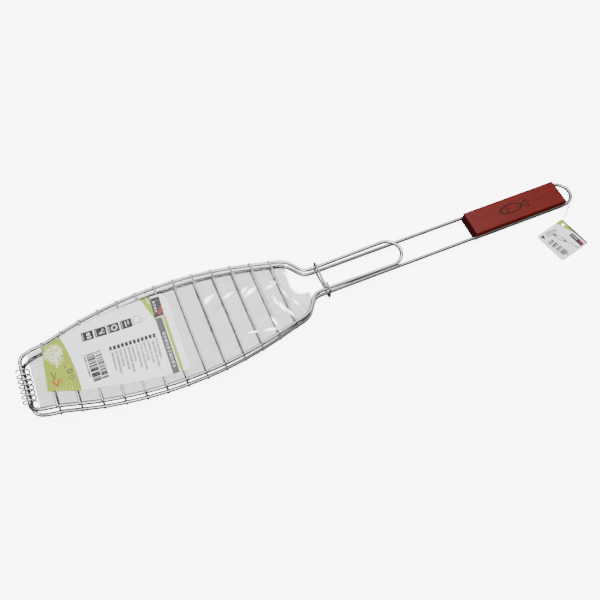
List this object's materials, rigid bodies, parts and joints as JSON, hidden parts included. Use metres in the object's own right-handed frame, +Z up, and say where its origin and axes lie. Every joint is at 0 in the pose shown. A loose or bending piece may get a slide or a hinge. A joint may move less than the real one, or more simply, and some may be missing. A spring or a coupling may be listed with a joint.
{
  "type": "fish grill basket",
  "caption": "Long-handled fish-shaped wire grill basket that opens on a coil hinge, locks with a sliding ring and has a wooden grip.",
  "frame": {"origin": "under the middle of the basket's length and width, on the surface that it stands on (the tag and its string not counted)", "axes": "+X from the hinge to the hanging loop, +Y to the left seen from the hinge, +Z up"},
  "size_m": [0.6489, 0.1381, 0.0262],
  "materials": {
    "frame_wire": "nickel-bright drawn steel wire, softly polished",
    "rung_wire": "nickel-bright thin steel wire",
    "hinge_coil": "spring-steel wire, satin",
    "lock_ring": "dull grey steel wire",
    "handle_grip": "red-brown stained hardwood, varnished",
    "insert_card": "printed coated paper card, plain green and white shapes",
    "film_cover": "clear polypropylene film, glossy and wrinkled",
    "hang_tag": "folded coated paper tag",
    "string": "clear nylon line"
  },
  "bodies": {
    "bottom_half": {"bottom_frame": "frame_wire", "bottom_rung_01": "rung_wire", "bottom_rung_02": "rung_wire", "bottom_rung_03": "rung_wire", "bottom_rung_04": "rung_wire", "bottom_rung_05": "rung_wire", "bottom_rung_06": "rung_wire", "bottom_rung_07": "rung_wire", "bottom_rung_08": "rung_wire", "bottom_rung_09": "rung_wire", "bottom_rung_10": "rung_wire", "bottom_rung_11": "rung_wire", "bottom_rung_12": "rung_wire", "bottom_rung_13": "rung_wire", "handle_grip": "handle_grip", "hang_tag": "hang_tag", "tag_string": "string", "string_knot": "string"},
    "hinge_coil": {"hinge_coil": "hinge_coil"},
    "top_half": {"top_frame": "frame_wire", "top_rung_01": "rung_wire", "top_rung_02": "rung_wire", "top_rung_03": "rung_wire", "top_rung_04": "rung_wire", "top_rung_05": "rung_wire", "top_rung_06": "rung_wire", "top_rung_07": "rung_wire", "top_rung_08": "rung_wire", "top_rung_09": "rung_wire", "top_rung_10": "rung_wire", "top_rung_11": "rung_wire", "top_rung_12": "rung_wire", "top_rung_13": "rung_wire", "insert_card": "insert_card", "film_cover": "film_cover"},
    "lock_ring": {"lock_ring": "lock_ring"}
  },
  "joints": [
    {"name": "coil_hinge", "type": "hinge", "parent": "bottom_half", "child": "hinge_coil", "pos_m": [-0.31727, 0, 0.0093], "axis": [0, -1, 0], "range_deg": [0, 89.4]},
    {"name": "top_hinge", "type": "hinge", "parent": "hinge_coil", "child": "top_half", "pos_m": [-0.31727, 0, 0.0159], "axis": [0, -1, 0], "range_deg": [0, 89.4]},
    {"name": "ring_slide", "type": "slide", "parent": "bottom_half", "child": "lock_ring", "axis": [1, 0, 0], "range_m": [0, 0.178]}
  ],
  "couplings": [
    {"joint": "coil_hinge", "follows": "top_hinge", "ratio": 1}
  ]
}
